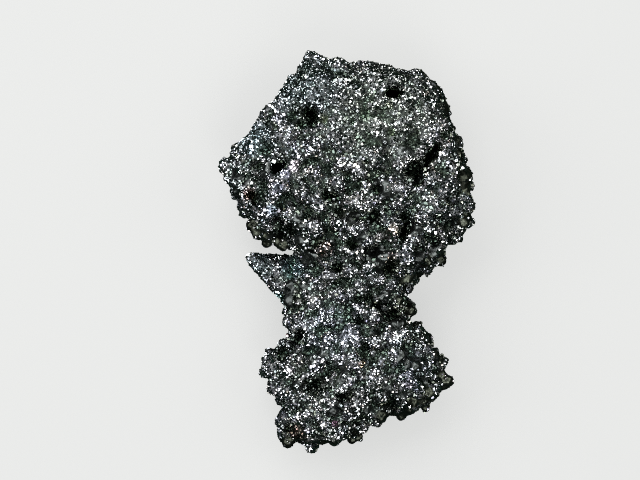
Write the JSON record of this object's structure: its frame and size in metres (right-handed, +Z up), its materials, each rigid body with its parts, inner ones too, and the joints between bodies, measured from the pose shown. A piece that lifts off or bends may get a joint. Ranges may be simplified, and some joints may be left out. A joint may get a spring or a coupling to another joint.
{
  "type": "botryoidal hematite specimen",
  "caption": "Hand-sized mineral specimen: a chunky block on a narrow waist and a lower lobe, crusted all over with tiny black, glittering rounded grains. It lies on its broken back.",
  "frame": {"origin": "on the broken face that it rests on, under the middle of its box", "axes": "+Y along the length, from the foot of the lower lobe to the crown of the upper block; +Z up, out of the broken face; +X to the right when it is looked down on with the crown away from the viewer"},
  "size_m": [0.0352, 0.055, 0.0179],
  "materials": {
    "hematite": "black to steel-grey metallic lustre, a crust of glittering rounded grains, with rusty specks in the hollows and a matt reddish-grey broken back"
  },
  "bodies": {
    "root": {"hematite": "hematite"}
  },
  "joints": []
}
